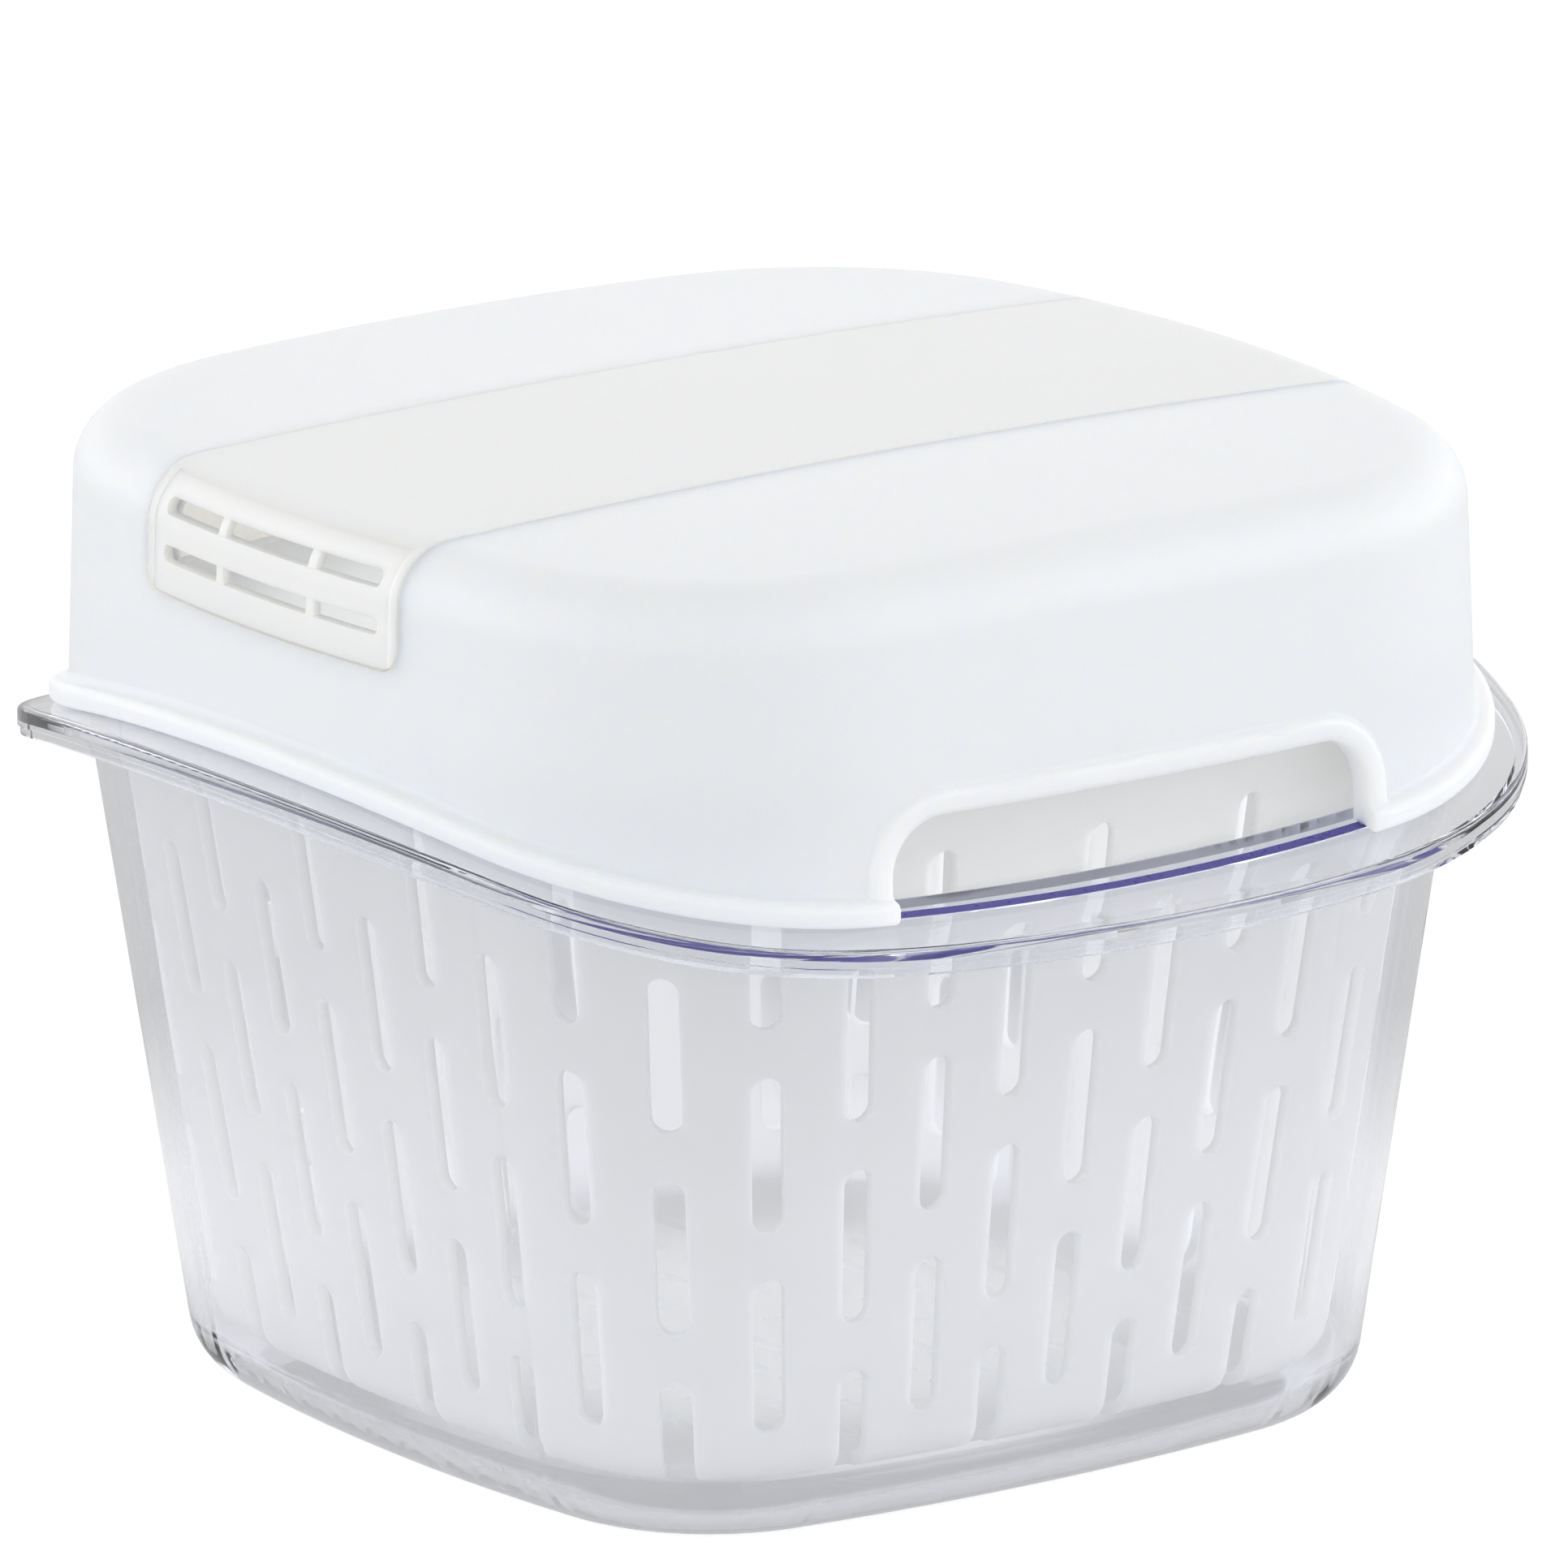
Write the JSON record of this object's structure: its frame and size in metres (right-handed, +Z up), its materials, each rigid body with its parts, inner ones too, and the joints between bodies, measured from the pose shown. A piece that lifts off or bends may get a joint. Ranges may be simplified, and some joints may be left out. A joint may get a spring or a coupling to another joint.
{
  "type": "food storage container",
  "caption": "Square food keeper with a clear flanged tub, a slotted drainer basket, a domed cover with a finger opening at each end and a wrap-over vent strip",
  "frame": {"origin": "the middle of the bounding box's bottom face, on the surface that the tub stands on", "axes": "+Z up; the finger openings and the grip ledges of the flange face +X and -X, the longest way; the panel with the vent grille faces -Y"},
  "size_m": [0.25, 0.237, 0.1765],
  "materials": {
    "clear_plastic": "polished clear, faint violet tint",
    "violet_trim": "glossy",
    "frosted_plastic": "frosted",
    "white_plastic": "satin",
    "strip_plastic": "satin"
  },
  "bodies": {
    "tub": {"tub": "clear_plastic", "seal_ring": "violet_trim"},
    "basket": {"basket": "frosted_plastic"},
    "lid": {"lid": "white_plastic"},
    "vent_strip": {"vent_strip": "strip_plastic"}
  },
  "joints": [
    {"name": "lid_lift", "type": "slide", "parent": "tub", "child": "lid", "axis": [0, 0, 1], "range_m": [0, 0.3]},
    {"name": "basket_lift", "type": "slide", "parent": "tub", "child": "basket", "axis": [0, 0, 1], "range_m": [0, 0.15]},
    {"name": "vent_lift", "type": "slide", "parent": "lid", "child": "vent_strip", "axis": [0, 0, 1], "range_m": [0, 0.04]}
  ],
  "couplings": [
    {"joint": "basket_lift", "follows": "lid_lift", "ratio": 0.5}
  ]
}
